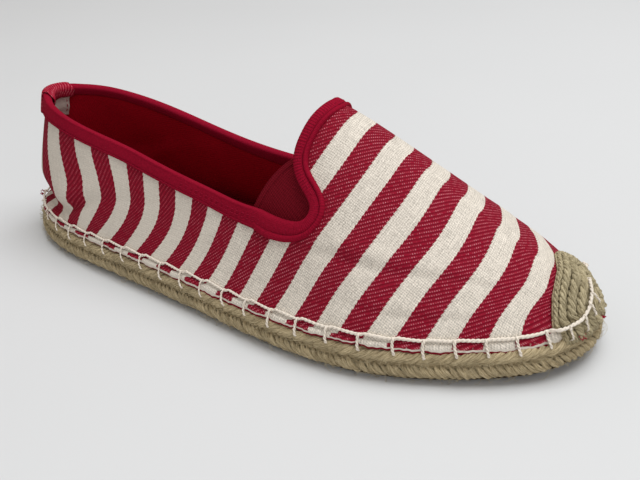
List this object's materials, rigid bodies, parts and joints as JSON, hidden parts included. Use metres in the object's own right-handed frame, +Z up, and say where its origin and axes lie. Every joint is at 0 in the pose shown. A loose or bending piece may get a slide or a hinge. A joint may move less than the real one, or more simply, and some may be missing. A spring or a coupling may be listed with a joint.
{
  "type": "espadrille shoe",
  "caption": "Right slip-on espadrille: striped canvas upper with elastic gores, bound collar and woven toe cap, stitched to a braided jute sole with a thin ribbed rubber tread.",
  "frame": {"origin": "Middle of the bounding box in plan, on the plane that the sole stands on", "axes": "+X runs along the sole from heel to toe, +Y to the inner (medial) side of the right foot, +Z up"},
  "size_m": [0.245, 0.0945, 0.0726],
  "materials": {
    "rubber": "dull moulded rubber, light brown",
    "jute": "braided natural jute cord with stray fibres",
    "insole_cloth": "plain dark red cloth",
    "canvas": "woven cotton, dark red twill stripes on plain off-white",
    "binding": "folded red cotton tape with stitching",
    "elastic": "fine ribbed dark red elastic web"
  },
  "bodies": {
    "root": {"outsole": "rubber", "jute_sole": "jute", "insole": "insole_cloth", "upper": "canvas", "toe_cap": "jute", "collar_binding": "binding", "heel_tab": "binding", "gore_lateral": "elastic", "gore_medial": "elastic"}
  },
  "joints": []
}
